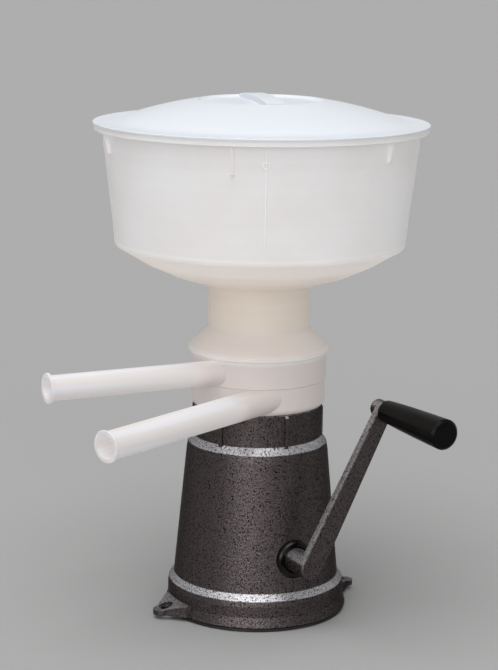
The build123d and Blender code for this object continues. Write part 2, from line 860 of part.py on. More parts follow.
# ---------------------------------------------------------------- drum

with BuildPart() as drum_base:
    with BuildSketch(Plane.XZ):
        with BuildLine():
            Polyline(
                (spindle_radius, 136.3),
                (11, 136.3),
                (15, drum_floor_z),
                (drum_radius - 2, drum_floor_z),
                (drum_radius, drum_floor_z + 2),
                (drum_radius, drum_joint_z),
                (drum_radius - 5, drum_joint_z),
                (drum_radius - 5, drum_joint_z - 4),
                (drum_radius - 9, drum_floor_z + 4),
                (13, drum_floor_z + 5),
                (10, drum_floor_z + 10),
                (feed_tube_radius, 156),
                (feed_tube_radius, 230),
                (feed_tube_bore, 230),
                (feed_tube_bore, 155),
                (0, 154),
                (0, 152),
                (spindle_radius, 152),
                close=True,
            )
        make_face()
    revolve(axis=Axis.Z)
    # Slots for the drive pin, and the feed holes under the discs
    with Locations(Location((0, 0, 137), (0, 90, 0))):
        Box(3.4, 2.4, 24, mode=Mode.SUBTRACT)
    with PolarLocations(0, 4, start_angle=45):
        with Locations(Location((6, 0, 159), (0, 90, 0))):
            Cylinder(1.6, 6, mode=Mode.SUBTRACT)
drum_base.part.label = "drum_base"
export_step(drum_base.part, "parts/drum_base.step")

with BuildPart() as drum_discs:
    for i in range(disc_count):
        low = 146 + i * disc_pitch
        rise = (38 - 12) * cone_slope
        thick = disc_thickness * hypot(1, cone_slope)
        with BuildSketch(Plane.XZ):
            with BuildLine():
                Polyline(
                    (38, low),
                    (38, low + thick),
                    (12, low + rise + thick),
                    (9, low + rise + thick),
                    (9, low + rise),
                    (12, low + rise),
                    close=True,
                )
            make_face()
        revolve(axis=Axis.Z)
drum_discs.part.label = "drum_discs"
export_step(drum_discs.part, "parts/drum_discs.step")

separator_neck = 11.0
separator_low = 162.6

with BuildPart() as separating_disc:
    rise = (40 - separator_neck) * cone_slope
    with BuildSketch(Plane.XZ):
        with BuildLine():
            Polyline(
                (40, separator_low),
                (40, separator_low + 1.4),
                (separator_neck, separator_low + 1.4 + rise),
                (separator_neck, 224),
                (feed_tube_radius, 224),
                (feed_tube_radius, 222.6),
                (separator_neck - 1.4, 222.6),
                (separator_neck - 1.4, separator_low + rise),
                (separator_neck - 1, separator_low + rise),
                close=True,
            )
        make_face()
    revolve(axis=Axis.Z)
    with Locations(Location((0, 10, 220.5), (90, 0, 0))):
        Cylinder(1.4, 6, mode=Mode.SUBTRACT)
separating_disc.part.label = "separating_disc"
export_step(separating_disc.part, "parts/separating_disc.step")

with BuildPart() as cream_screw:
    with Locations(Location((0, 9.2, 220.5), (-90, 0, 0))):
        Cylinder(1.4, 4.6, align=(Align.CENTER, Align.CENTER, Align.MIN))
    with Locations(Location((0, 13.4, 220.5), (-90, 0, 0))):
        Box(4, 0.6, 1, mode=Mode.SUBTRACT)
cream_screw.part.label = "cream_screw"
export_step(cream_screw.part, "parts/cream_screw.step")

with BuildPart() as drum_cover:
    with BuildSketch(Plane.XZ):
        with BuildLine():
            thick = 2.2 * hypot(1, cone_slope)
            Polyline(
                (drum_radius, drum_joint_z),
                (drum_radius, drum_cone_z),
                (neck_radius, neck_z),
                (neck_radius, neck_top_z),
                (separator_neck + 0.2, neck_top_z),
                (separator_neck + 0.2, neck_top_z - 1.6),
                (neck_radius - 2, neck_top_z - 1.6),
                (neck_radius - 2, neck_z - 1.2),
                (drum_radius - 2.4, drum_cone_z - thick + 2.4 * cone_slope),
                (drum_radius - 2.4, drum_joint_z),
                close=True,
            )
        make_face()
    revolve(axis=Axis.Z)
    with PolarLocations(neck_radius - 1, 3):
        with Locations(Location((0, 0, 200), (0, 90, 0))):
            Cylinder(1.2, 6, mode=Mode.SUBTRACT)
drum_cover.part.label = "drum_cover"
export_step(drum_cover.part, "parts/drum_cover.step")

with BuildPart() as drum_seal_ring:
    with BuildSketch(Plane.XY.offset(drum_joint_z - 3)):
        Circle(drum_radius - 5)
        Circle(drum_radius - 6.6, mode=Mode.SUBTRACT)
    extrude(amount=5)
drum_seal_ring.part.label = "drum_seal_ring"
export_step(drum_seal_ring.part, "parts/drum_seal_ring.step")

with BuildPart() as drum_nut:
    with BuildSketch(Plane.XY.offset(224)):
        Circle(12.5)
    extrude(amount=3)
    with BuildSketch(Plane.XY.offset(227)):
        RegularPolygon(10.5, 6, major_radius=False)
    extrude(amount=4)
    with BuildSketch(Plane.XY.offset(224)):
        Circle(feed_tube_radius)
    extrude(amount=7, mode=Mode.SUBTRACT)
drum_nut.part.label = "drum_nut"
export_step(drum_nut.part, "parts/drum_nut.step")

# ---------------------------------------------------------------- receivers


def spout_plane(angle, offset, height, slope):
    """The plane at a spout's start, whose normal runs along the spout towards its mouth."""
    a = radians(angle)
    s = radians(slope)
    outwards = (cos(a) * cos(s), sin(a) * cos(s), -sin(s))
    start = (-offset * sin(a), offset * cos(a), height)
    return Plane(origin=start, x_dir=(-sin(a), cos(a), 0), z_dir=outwards)


skim_plane = spout_plane(skim_spout_angle, skim_spout_offset, skim_spout_z, skim_spout_slope)
cream_plane = spout_plane(cream_spout_angle, cream_spout_offset, cream_spout_z, 0)

with BuildPart() as skim_tube:
    with BuildSketch(skim_plane):
        Circle(skim_spout_radius)
    extrude(amount=skim_spout_length)
    with BuildSketch(skim_plane.offset(skim_spout_length - spout_flange)):
        Circle(skim_spout_radius + 1.6)
    extrude(amount=spout_flange)
    fillet(skim_tube.edges().filter_by(GeomType.CIRCLE).sort_by(Axis.X)[:2], 0.8)
    with BuildSketch(Plane.XY.offset(seam_z - 60)):
        Circle(receiver_radius - 1.2)
    extrude(amount=120, mode=Mode.SUBTRACT)
    # Flat roof where the tube runs out under the seam
    with BuildSketch(Plane.XY.offset(seam_z - 0.2)):
        Circle(2 * receiver_radius)
    extrude(amount=20, mode=Mode.SUBTRACT)

with BuildPart() as skim_root_bore:
    with BuildSketch(skim_plane.offset(skim_root_start)):
        Circle(skim_spout_radius - root_wall)
    extrude(amount=skim_bore_start - skim_root_start)
    with BuildSketch(Plane.XY.offset(seam_z - 0.2 - spout_wall)):
        Circle(2 * receiver_radius)
    extrude(amount=20, mode=Mode.SUBTRACT)

with BuildPart() as cream_tube:
    with BuildSketch(cream_plane):
        Circle(cream_spout_radius)
    extrude(amount=cream_spout_length)
    with BuildSketch(cream_plane.offset(cream_spout_length - spout_flange)):
        Circle(cream_spout_radius + 2.2)
    extrude(amount=spout_flange)
    fillet(cream_tube.edges().filter_by(GeomType.CIRCLE).sort_by(Axis.X)[:2], 0.8)
    with BuildSketch(Plane.XY.offset(seam_z - 20)):
        Circle(receiver_radius - 1.2)
    extrude(amount=60, mode=Mode.SUBTRACT)

with BuildPart() as skim_receiver:
    with BuildSketch(Plane.XZ):
        with BuildLine():
            corner = 5.5
            Polyline(
                (receiver_radius - corner, skim_floor_z),
                (skim_hole_radius, skim_floor_z),
                (skim_hole_radius, skim_rim_z),
                (skim_hole_radius + 1.8, skim_rim_z),
                (skim_hole_radius + 1.8, skim_floor_z + floor_thickness),
                (receiver_bore, skim_floor_z + floor_thickness),
                (receiver_bore, seam_z),
                (receiver_radius, seam_z),
                (receiver_radius, skim_floor_z + corner),
            )
            RadiusArc(
                (receiver_radius, skim_floor_z + corner),
                (receiver_radius - corner, skim_floor_z),
                corner,
            )
        make_face()
    revolve(axis=Axis.Z)
    # Spigot that centres the receiver in the collar
    with BuildSketch(Plane.XY.offset(skim_floor_z - spigot_depth)):
        Circle(collar_bore - gap)
        Circle(collar_bore - gap - spigot_wall, mode=Mode.SUBTRACT)
    extrude(amount=spigot_depth + 1)
    add(skim_tube.part)
    add(skim_root_bore.part, mode=Mode.SUBTRACT)
    with BuildSketch(skim_plane.offset(skim_bore_start)):
        Circle(skim_spout_radius - spout_wall)
    extrude(amount=skim_spout_length, mode=Mode.SUBTRACT)
skim_receiver.part.label = "skim_receiver"
export_step(skim_receiver.part, "parts/skim_receiver.step")

with BuildPart() as cream_receiver:
    with BuildSketch(Plane.XZ):
        with BuildLine():
            Polyline(
                (cream_hole_radius, seam_z),
                (cream_hole_radius, cream_rim_z),
                (cream_hole_radius + 1.8, cream_rim_z),
                (cream_hole_radius + 1.8, seam_z + floor_thickness),
                (receiver_bore + 0.4, seam_z + floor_thickness),
                (receiver_bore + 0.4, receiver_top_z),
                (receiver_radius + 0.6, receiver_top_z),
                (receiver_radius + 0.6, seam_z + 0.8),
                (receiver_radius - 0.2, seam_z),
                close=True,
            )
        make_face()
    revolve(axis=Axis.Z)
    with BuildSketch(Plane.XY.offset(seam_z - spigot_depth)):
        Circle(receiver_bore - gap)
        Circle(receiver_bore - gap - spigot_wall, mode=Mode.SUBTRACT)
    extrude(amount=spigot_depth + 1)
    add(cream_tube.part)
    with BuildSketch(cream_plane.offset(cream_root_start)):
        Circle(cream_spout_radius - root_wall)
    extrude(amount=cream_bore_start - cream_root_start, mode=Mode.SUBTRACT)
    with BuildSketch(cream_plane.offset(cream_bore_start)):
        Circle(cream_spout_radius - spout_wall)
    extrude(amount=cream_spout_length, mode=Mode.SUBTRACT)
cream_receiver.part.label = "cream_receiver"
export_step(cream_receiver.part, "parts/cream_receiver.step")

# ---------------------------------------------------------------- float chamber

neck_bore = chamber_neck_radius - 2.2

with BuildPart() as float_chamber:
    with BuildSketch(Plane.XZ):
        with BuildLine():
            Polyline(
                (nozzle_radius, nozzle_foot_z),
                (nozzle_radius, chamber_floor_z - floor_thickness),
                (54, chamber_floor_z - floor_thickness),
                (54, receiver_top_z),
                (bead_radius - 1.5, receiver_top_z),
                (bead_radius, receiver_top_z + 1.5),
                (bead_radius, receiver_top_z + bead_height - 2),
                (receiver_radius + 0.4, receiver_top_z + bead_height + 0.4),
                (chamber_neck_radius + 1, chamber_cone_z - 0.4),
                (chamber_neck_radius, chamber_cone_z + 1),
                (chamber_neck_radius, chamber_top_z),
                (neck_bore, chamber_top_z),
                (neck_bore, chamber_cone_z),
                (56.5, receiver_top_z + bead_height),
                (56.5, chamber_floor_z),
                (nozzle_bore, chamber_floor_z),
                (nozzle_bore, nozzle_foot_z),
                close=True,
            )
        make_face()
    revolve(axis=Axis.Z)
    fillet(circles_at(float_chamber.part, receiver_top_z + bead_height - 2, 61), 1.2)
    # Spigot that centres the chamber in the cream receiver
    with BuildSketch(Plane.XY.offset(receiver_top_z - 1.8)):
        Circle(receiver_bore + 0.4 - gap)
        Circle(receiver_bore + 0.4 - gap - 1.8, mode=Mode.SUBTRACT)
    extrude(amount=2.8)
    # Three ribs that the float rests on
    with PolarLocations(30, 3, start_angle=30):
        with Locations((0, 0, chamber_floor_z)):
            Box(18, 2, float_z - chamber_floor_z, align=(Align.CENTER, Align.CENTER, Align.MIN))
float_chamber.part.label = "float_chamber"
export_step(float_chamber.part, "parts/float_chamber.step")

with BuildPart() as float_shell:
    with BuildSketch(Plane.XZ):
        with BuildLine():
            Polyline(
                (0, float_z + 1.5),
                (0, float_z),
                (float_radius - 3, float_z),
                (float_radius, float_z + 3),
                (float_radius, float_top_z - 2),
                (float_radius - 1.6, float_top_z - 2),
                (float_radius - 1.6, float_z + 4),
                (float_radius - 4, float_z + 1.5),
                close=True,
            )
        make_face()
    revolve(axis=Axis.Z)
float_shell.part.label = "float_shell"
export_step(float_shell.part, "parts/float_shell.step")

with BuildPart() as float_lid:
    with BuildSketch(Plane.XZ):
        with BuildLine():
            Polyline(
                (0, float_top_z),
                (0, float_top_z - 2),
                (float_radius, float_top_z - 2),
                (float_radius, float_top_z - 1),
                (float_radius - 1, float_top_z),
                close=True,
            )
        make_face()
    revolve(axis=Axis.Z)
    # Central pad that closes the bowl's outlet when the float rises
    with BuildSketch(Plane.XY.offset(float_top_z)):
        Circle(8)
    extrude(amount=1.5)
float_lid.part.label = "float_lid"
export_step(float_lid.part, "parts/float_lid.step")

# ---------------------------------------------------------------- milk bowl

with BuildPart() as milk_bowl:
    with BuildSketch(Plane.XZ):
        with BuildLine():
            outer = Polyline(
                (bowl_outlet_radius + 2, 288),
                (bowl_outlet_radius + 2, chamber_top_z),
                (bowl_lip_radius, chamber_top_z),
                (bowl_lip_radius, chamber_top_z + 1.6),
                (77.7, 302.9),
                (101.8, 314.0),
                (122.5, bowl_corner_z - 3.5),
            )
            corner_end = (127.0, bowl_corner_z + 2.5)
            RadiusArc(outer @ 1, corner_end, -6)
            Polyline(
                corner_end,
                (129.5, 358),
                (132.2, 380),
                (135.2, lid_ring_z - 8),
                (136.4, lid_ring_z),
                (136.9, bowl_rim_z),
                (bowl_rim_radius - 0.6, bowl_rim_z),
                (bowl_rim_radius, bowl_rim_z + 0.6),
                (bowl_rim_radius, bowl_top_z),
                (134.7, bowl_top_z),
                (134.2, lid_ring_z),
                (133.0, lid_ring_z - 8),
                (130.0, 380),
                (127.3, 358),
                (124.8, bowl_corner_z + 3.6),
            )
            inner_corner_end = (121.2, bowl_corner_z - 1.4)
            RadiusArc((124.8, bowl_corner_z + 3.6), inner_corner_end, 4.5)
            Polyline(
                inner_corner_end,
                (101.0, 316.3),
                (77.0, 305.1),
                (46.0, chamber_top_z + 2.6),
                (bowl_outlet_radius, chamber_top_z + 2.2),
                (bowl_outlet_radius, 288),
                (bowl_outlet_radius + 2, 288),
            )
        make_face()
    revolve(axis=Axis.Z)
    # Fine ridge round the corner of wall and dish
    with BuildSketch(Plane.XZ):
        with Locations((125.3, bowl_corner_z - 0.8)):
            Circle(0.8)
    revolve(axis=Axis.Z)
    # Spigot that centres the bowl in the float chamber's neck
    with BuildSketch(Plane.XY.offset(chamber_top_z - 6)):
        Circle(neck_bore - gap)
        Circle(neck_bore - gap - 1.8, mode=Mode.SUBTRACT)
    extrude(amount=6.5)
    for i in range(gusset_count):
        drop = gusset_long if i % 2 == 0 else gusset_short
        with BuildSketch(radial_plane(gusset_start + i * 360 / gusset_count)):
            with BuildLine():
                Polyline(
                    (134.6, bowl_rim_z + 0.5),
                    (142.5, bowl_rim_z + 0.5),
                    (141.5, bowl_rim_z - 2),
                    (138.4, bowl_rim_z - drop + 1),
                    (137.4, bowl_rim_z - drop),
                    (134.6, bowl_rim_z - drop),
                    close=True,
                )
            make_face()
        extrude(amount=1.3, both=True)
milk_bowl.part.label = "milk_bowl"
export_step(milk_bowl.part, "parts/milk_bowl.step")

with BuildPart() as valve_plug:
    with BuildSketch(Plane.XZ):
        with BuildLine():
            Polyline(
                (0, 289),
                (3.2, 289),
                (bowl_outlet_radius - gap, 291),
                (bowl_outlet_radius - gap, 297),
                (9, 297),
                (9, 299.5),
                (3, 301),
                (3, 322),
                (7, 324),
                (8, 329),
                (5.5, 334),
                (0, 335.5),
                close=True,
            )
        make_face()
    revolve(axis=Axis.Z)
valve_plug.part.label = "valve_plug"
export_step(valve_plug.part, "parts/valve_plug.step")

with BuildPart() as valve_seal:
    with BuildSketch(Plane.XY.offset(chamber_top_z + 2.7)):
        Circle(8.5)
        Circle(bowl_outlet_radius - gap, mode=Mode.SUBTRACT)
    extrude(amount=1.8)
valve_seal.part.label = "valve_seal"
export_step(valve_seal.part, "parts/valve_seal.step")

# ---------------------------------------------------------------- lid

dome_centre_z = lid_crown_z - lid_dome_radius


def dome_z(radius, shift=0.0):
    """Height of the lid's outer dome at a radius, or of a skin lying below it by shift."""
    return dome_centre_z + sqrt((lid_dome_radius - shift) ** 2 - radius**2)


rim_z = bowl_top_z + lid_rim_height

foot_slope = -lid_foot_radius / sqrt(lid_dome_radius**2 - lid_foot_radius**2)
inner_foot = lid_foot_radius - 1.0
bar_foot_z = lid_crown_z - lid_recess_depth - 1.9

with BuildPart() as bowl_lid:
    with BuildSketch(Plane.XZ):
        with BuildLine():
            Polyline(
                (lid_radius, bowl_top_z),
                (lid_radius, rim_z - 0.6),
                (lid_radius - 0.6, rim_z),
                (lid_flat_radius, rim_z),
            )
            # Concave sweep from the flat rim up to the dome
            Spline(
                (lid_flat_radius, rim_z),
                (lid_foot_radius, dome_z(lid_foot_radius)),
                tangents=[(-1, 0), (-1, -foot_slope)],
            )
            ThreePointArc(
                (lid_foot_radius, dome_z(lid_foot_radius)),
                (90, dome_z(90)),
                (lid_recess_radius, dome_z(lid_recess_radius)),
            )
            Line(
                (lid_recess_radius, dome_z(lid_recess_radius)),
                (lid_recess_radius - 2, dome_z(lid_recess_radius) - 2.2),
            )
            ThreePointArc(
                (lid_recess_radius - 2, dome_z(lid_recess_radius) - 2.2),
                (lid_recess_radius / 2, lid_crown_z - lid_recess_depth - 0.6),
                (0, lid_crown_z - lid_recess_depth),
            )
            Line(
                (0, lid_crown_z - lid_recess_depth),
                (0, lid_crown_z - lid_recess_depth - lid_thickness),
            )
            ThreePointArc(
                (0, lid_crown_z - lid_recess_depth - lid_thickness),
                (lid_recess_radius / 2, lid_crown_z - lid_recess_depth - 0.6 - lid_thickness),
                (lid_recess_radius - 1, dome_z(lid_recess_radius) - 2.2 - lid_thickness),
            )
            Line(
                (lid_recess_radius - 1, dome_z(lid_recess_radius) - 2.2 - lid_thickness),
                (lid_recess_radius + 1.5, dome_z(lid_recess_radius + 1.5, lid_thickness)),
            )
            ThreePointArc(
                (lid_recess_radius + 1.5, dome_z(lid_recess_radius + 1.5, lid_thickness)),
                (90, dome_z(90, lid_thickness)),
                (inner_foot, dome_z(inner_foot, lid_thickness)),
            )
            Spline(
                (inner_foot, dome_z(inner_foot, lid_thickness)),
                (130.4, rim_z - lid_thickness),
                tangents=[(1, foot_slope), (1, 0)],
            )
            # Ring that drops inside the bowl and centres the lid
            Polyline(
                (130.4, rim_z - lid_thickness),
                (130.4, lid_ring_z + 1),
                (131.4, lid_ring_z),
                (132.4, lid_ring_z),
                (133.6, bowl_top_z - 4),
                (133.9, bowl_top_z),
                (lid_radius, bowl_top_z),
            )
        make_face()
    revolve(axis=Axis.Z)
    # Grip bar across the recess
    with BuildSketch(radial_plane(lid_bar_angle)):
        with BuildLine():
            half = lid_bar_length / 2
            Line((-half, bar_foot_z), (-half, dome_z(half) + 0.4))
            Spline(
                (-half, dome_z(half) + 0.4),
                (-half * 0.5, lid_bar_top_z - 0.5),
                (0, lid_bar_top_z),
                (half * 0.5, lid_bar_top_z - 0.5),
                (half, dome_z(half) + 0.4),
            )
            Line((half, dome_z(half) + 0.4), (half, bar_foot_z))
            Line((half, bar_foot_z), (-half, bar_foot_z))
        make_face()
    extrude(amount=lid_bar_width / 2, both=True)
    fillet(bowl_lid.edges().filter_by(GeomType.BSPLINE).group_by(SortBy.LENGTH)[-1], 1.2)
bowl_lid.part.label = "bowl_lid"
export_step(bowl_lid.part, "parts/bowl_lid.step")
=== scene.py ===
"""Looks for the hand-crank cream separator: camera, soft studio light and procedural materials.

Every size here is in metres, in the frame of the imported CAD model: +Z up, spindle on the Z axis,
crank shaft along -Y.
"""

import json
from math import cos, radians, sin

import bpy
from mathutils import Matrix, Vector

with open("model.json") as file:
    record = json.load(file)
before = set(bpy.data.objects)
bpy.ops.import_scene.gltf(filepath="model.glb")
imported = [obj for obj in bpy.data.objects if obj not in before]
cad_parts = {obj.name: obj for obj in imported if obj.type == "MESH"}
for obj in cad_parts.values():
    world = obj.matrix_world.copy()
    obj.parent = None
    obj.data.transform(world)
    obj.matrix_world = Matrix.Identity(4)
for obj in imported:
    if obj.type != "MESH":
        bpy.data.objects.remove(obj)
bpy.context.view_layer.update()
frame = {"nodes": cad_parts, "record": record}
nodes = frame["nodes"]

TONE_HEIGHT = 0.46  # the plastic's ramps by height run from 0 at the floor to 1 at this height
RING_ZONE = ((0.54, 0.2), (0.59, 1.0), (0.65, 1.0), (0.69, 0.25))  # turning rings, mostly on the neck
CRACK_SIZE = 0.0016  # mean spacing of the paint's dark cracks

# The moulding's weld line: a straight mark down the front of the bowl, with a small ring on it
WELD_ANGLE = radians(-116.6)  # where it stands, seen from above
WELD_MIDDLE_Z = 0.385
WELD_HALF_LENGTH = 0.035
WELD_RING_Z = 0.412
WELD_RING_RADIUS = 0.0027
WELD_INNER_REACH = 0.11  # marks show only farther out from the spindle than this

CREAM_SPOUT_ANGLE = radians(178.2)
SKIM_SPOUT_ANGLE = radians(198.4)
SPOUT_START = 0.085  # from the spindle: the spouts' own look is full beyond this
SPOUT_BLEND = 0.025  # and fades out over this, towards the spindle

HALF_FLOOR = 40.0
FLOOR_DROP = 0.0002  # keeps the floor just clear of the base plate
FLOOR_TONE = 0.415

CAMERA_PLACE = (-0.8211, -1.5197, 0.5993)
CAMERA_FORWARD = (0.4615, 0.8643, -0.2001)
CAMERA_ROLL = radians(0.75)
CAMERA_LENS = 107.5
CAMERA_SIDE = -118.1  # degrees, the side of the object that the camera stands on


# ---------------------------------------------------------------- node helpers


class Shader:
    """A small builder for one node material around a Principled surface."""

    def __init__(self, name):
        self.material = bpy.data.materials.new(name)
        self.material.use_nodes = True
        self.tree = self.material.node_tree
        self.surface = self.tree.nodes["Principled BSDF"]
        self.coordinates = self.add("ShaderNodeTexCoord")
        self.position = self.coordinates.outputs["Object"]

    def add(self, kind, **settings):
        node = self.tree.nodes.new(kind)
        for key, value in settings.items():
            setattr(node, key, value)
        return node

    def feed(self, socket, value):
        """Links an output to a socket, or sets the socket's own value."""
        if isinstance(value, bpy.types.NodeSocket):
            self.tree.links.new(value, socket)
        elif hasattr(value, "__len__") and len(socket.default_value) == 4:
            socket.default_value = (*value[:3], 1)
        else:
            socket.default_value = value

    def set(self, **values):
        for key, value in values.items():
            self.feed(self.surface.inputs[key.replace("_", " ")], value)

    def split(self, vector):
        node = self.add("ShaderNodeSeparateXYZ")
        self.feed(node.inputs[0], vector)
        return node.outputs

    def maths(self, operation, first, second=0.0):
        node = self.add("ShaderNodeMath", operation=operation)
        self.feed(node.inputs[0], first)
        self.feed(node.inputs[1], second)
        return node.outputs[0]

    def turned(self, place, angle):
        """The distance along a level direction at this angle, and the distance across it."""
        along = self.maths("MULTIPLY", place["X"], cos(angle))
        along = self.maths("ADD", along, self.maths("MULTIPLY", place["Y"], sin(angle)))
        across = self.maths("MULTIPLY", place["Y"], cos(angle))
        across = self.maths("SUBTRACT", across, self.maths("MULTIPLY", place["X"], sin(angle)))
        return along, across

    def stretched(self, scale):
        node = self.add("ShaderNodeMapping")
        node.inputs["Scale"].default_value = scale
        self.feed(node.inputs["Vector"], self.position)
        return node.outputs["Vector"]

    def noise(self, scale, detail=3.0, roughness=0.5, vector=None):
        node = self.add("ShaderNodeTexNoise")
        node.inputs["Scale"].default_value = scale
        node.inputs["Detail"].default_value = detail
        node.inputs["Roughness"].default_value = roughness
        self.feed(node.inputs["Vector"], vector or self.position)
        return node.outputs["Fac"]

    def ramp(self, value, *stops):
        """A colour ramp from (position, colour) stops; a grey may be one number."""
        node = self.add("ShaderNodeValToRGB")
        elements = node.color_ramp.elements
        while len(elements) > 1:
            elements.remove(elements[-1])
        for i, (place, colour) in enumerate(stops):
            element = elements[0] if i == 0 else elements.new(place)
            element.position = place
            if not hasattr(colour, "__len__"):
                colour = (colour, colour, colour)
            element.color = (*colour, 1)
        self.feed(node.inputs["Fac"], value)
        return node.outputs["Color"]

    def mix(self, factor, first, second, blend="MIX"):
        node = self.add("ShaderNodeMix", data_type="RGBA", blend_type=blend)
        self.feed(node.inputs[0], factor)
        self.feed(node.inputs[6], first)
        self.feed(node.inputs[7], second)
        return node.outputs[2]

    def bump(self, height, strength, distance, below=None):
        node = self.add("ShaderNodeBump")
        node.inputs["Strength"].default_value = strength
        node.inputs["Distance"].default_value = distance
        self.feed(node.inputs["Height"], height)
        if below is not None:
            self.feed(node.inputs["Normal"], below)
        return node.outputs["Normal"]

    def step(self, value, edge, soft):
        """1 below the edge, falling to 0 over the soft width."""
        node = self.add("ShaderNodeMapRange", interpolation_type="SMOOTHSTEP")
        limits = {"From Min": edge, "From Max": edge + soft, "To Min": 1.0, "To Max": 0.0}
        for name, number in limits.items():
            node.inputs[name].default_value = number
        self.feed(node.inputs["Value"], value)
        return node.outputs["Result"]


# ---------------------------------------------------------------- materials


FLAKE_STOPS = (0.34, 0.52, 0.7)
PAINT_TONES = ((0.050, 0.040, 0.039), (0.100, 0.083, 0.083), (0.17, 0.15, 0.152))
# Painted highlight colours for bevel surfaces that face up
PAINTED_HIGHLIGHT_TONES = ((0.34, 0.32, 0.33), (0.60, 0.59, 0.62), (0.9, 0.9, 0.94))
CRACK_TONE = (0.006, 0.005, 0.005)


def hammered_paint(name, painted_highlight_strength):
    """Dark brown-grey metallic hammertone: short black cracks between small raised blisters, with a
    painted highlight on bevel surfaces that face up.
    """
    s = Shader(name)
    s.set(Metallic=0.8, Specular_IOR_Level=0.3, Specular_Tint=(0.15, 0.13, 0.13))
    wobble = s.add("ShaderNodeTexNoise")
    wobble.inputs["Scale"].default_value = 420
    s.feed(wobble.inputs["Vector"], s.position)
    bent = s.mix(0.0012, s.position, wobble.outputs["Color"], "ADD")
    cells = s.add("ShaderNodeTexVoronoi", feature="DISTANCE_TO_EDGE")
    cells.inputs["Scale"].default_value = 1 / CRACK_SIZE
    s.feed(cells.inputs["Vector"], bent)
    open_cracks = s.ramp(s.noise(620, 2, 0.6), (0.52, 0.0), (0.58, 1.0))
    cracks = s.mix(s.step(cells.outputs["Distance"], 0.07, 0.11), (0, 0, 0), open_cracks)
    flakes = s.noise(1700, 3, 0.6)
    blisters = s.noise(480, 2)
    paint = s.ramp(flakes, *zip(FLAKE_STOPS, PAINT_TONES))
    painted_highlight = s.ramp(flakes, *zip(FLAKE_STOPS, PAINTED_HIGHLIGHT_TONES))
    # Painted highlight: the colour turns a bright grey on bevel surfaces that face up and out, where the
    # overhead light would shine on them
    facing = s.add("ShaderNodeVectorTransform", vector_type="NORMAL")
    facing.convert_from = "WORLD"
    facing.convert_to = "OBJECT"
    s.feed(facing.inputs[0], s.add("ShaderNodeNewGeometry").outputs["True Normal"])
    upwards = s.split(facing.outputs[0])["Z"]
    painted_highlight_mask = s.ramp(upwards, (0.36, 0.0), (0.50, 1.0), (0.85, 1.0), (0.97, 0.5))
    skin = s.mix(s.maths("MULTIPLY", painted_highlight_mask, painted_highlight_strength), paint, painted_highlight)
    s.set(Base_Color=s.mix(cracks, skin, CRACK_TONE))
    s.set(Roughness=s.ramp(blisters, (0.35, 0.32), (0.65, 0.44)))
    sunk = s.mix(cracks, flakes, (0, 0, 0))
    s.set(Normal=s.bump(blisters, 0.6, 0.0006, s.bump(sunk, 0.45, 0.0003)))
    return s.material


def weld_mark(s, level, ahead, across):
    """1 on the weld line and on its ring, 0 elsewhere."""
    line = s.step(s.maths("ABSOLUTE", across), 0.0003, 0.0007)
    from_middle = s.maths("ABSOLUTE", s.maths("SUBTRACT", level, WELD_MIDDLE_Z))
    line = s.maths("MULTIPLY", line, s.step(from_middle, WELD_HALF_LENGTH, 0.006))
    rise = s.maths("SUBTRACT", level, WELD_RING_Z)
    reach = s.maths("ADD", s.maths("POWER", across, 2.0), s.maths("POWER", rise, 2.0))
    reach = s.maths("SQRT", reach)
    from_ring = s.maths("ABSOLUTE", s.maths("SUBTRACT", reach, WELD_RING_RADIUS))
    ring = s.step(from_ring, 0.0004, 0.0006)
    at_front = s.step(s.maths("MULTIPLY", ahead, -1.0), -WELD_INNER_REACH, 0.01)
    return s.maths("MULTIPLY", s.maths("MAXIMUM", line, ring), at_front)


CLOUD_TONE = (0.70, 0.62, 0.55)
RING_TONE = (0.62, 0.54, 0.48)
# Spout colour, darkened to offset the painted glow that the spouts get
SPOUT_TONE = (0.47, 0.45, 0.445)
STREAK_TONE = (0.52, 0.52, 0.55)
# Extra painted glow along the spouts
SPOUT_GLOW = 0.5


